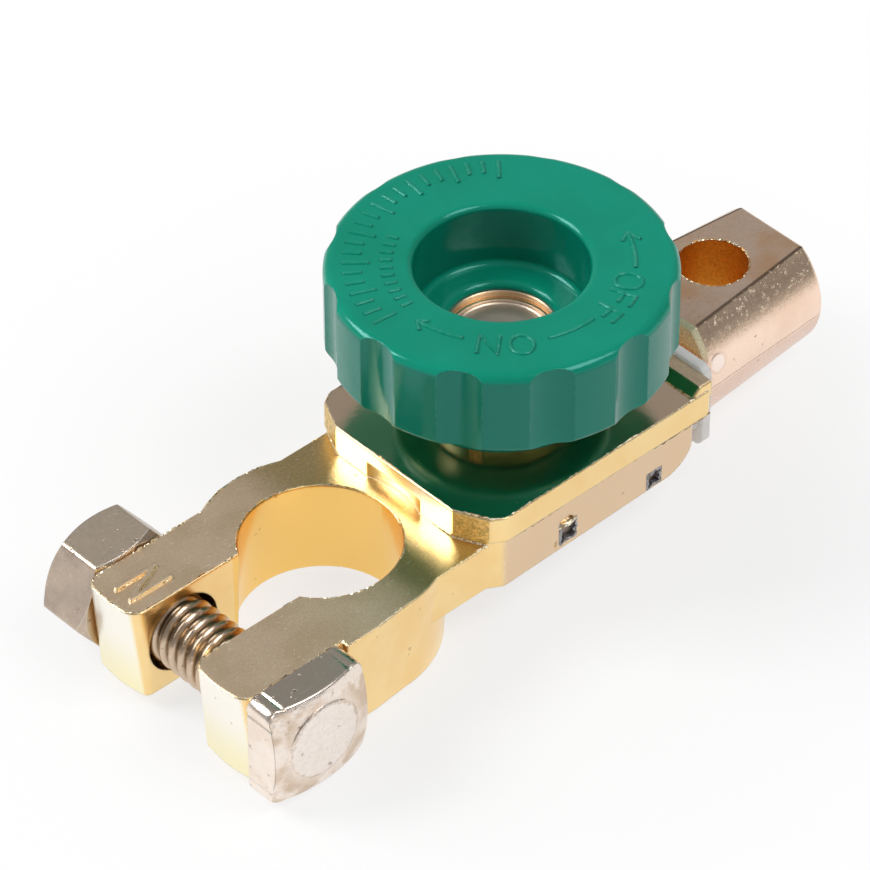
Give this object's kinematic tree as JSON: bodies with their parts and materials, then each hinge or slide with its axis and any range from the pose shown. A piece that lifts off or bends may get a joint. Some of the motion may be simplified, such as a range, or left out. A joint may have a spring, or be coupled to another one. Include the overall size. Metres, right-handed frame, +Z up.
{
  "type": "battery terminal clamp",
  "caption": "Battery terminal clamp with a split ring for the post, a cable lug and a green knob that opens and closes the circuit.",
  "frame": {"origin": "axis of the post bore at the clamp's underside", "axes": "+X from the jaw ears to the cable lug, +Y towards the hex nut, +Z up along the post bore"},
  "size_m": [0.0886, 0.0375, 0.0356],
  "materials": {
    "gold_plated_casting": "satin yellow passivated plating, worn bright on the edges",
    "lug_plating": "satin pinkish bronze plating",
    "contact_brass": "turned brass",
    "fastener_plating": "bright nickel plating with small pits",
    "green_plastic": "glossy moulded plastic",
    "natural_nylon": "milky translucent nylon"
  },
  "bodies": {
    "clamp": {"clamp_body": "gold_plated_casting", "insulator_sleeve": "natural_nylon", "insulator_cover": "natural_nylon", "cable_lug": "lug_plating"},
    "contact_screw": {"contact_screw": "contact_brass"},
    "knob": {"knob": "green_plastic"},
    "clamp_bolt": {"clamp_bolt": "fastener_plating"},
    "clamp_nut": {"clamp_nut": "fastener_plating"}
  },
  "joints": [
    {"name": "contact_screw_travel", "type": "slide", "parent": "clamp", "child": "contact_screw", "axis": [0, 0, 1], "range_m": [0, 0.0053]},
    {"name": "knob_turn", "type": "hinge", "parent": "contact_screw", "child": "knob", "pos_m": [0.0255, 0, 0.025], "axis": [0, 0, 1], "range_deg": [0, 1080]},
    {"name": "bolt_travel", "type": "slide", "parent": "clamp", "child": "clamp_bolt", "axis": [0, -1, 0], "range_m": [0, 0.00635]},
    {"name": "nut_turn", "type": "hinge", "parent": "clamp", "child": "clamp_nut", "pos_m": [-0.0152, 0.015, 0.00595], "axis": [0, 1, 0], "range_deg": [0, 1620]}
  ],
  "couplings": [
    {"joint": "contact_screw_travel", "follows": "knob_turn", "m_per_rad": 0.00027852},
    {"joint": "bolt_travel", "follows": "nut_turn", "m_per_rad": 0.00022458}
  ]
}
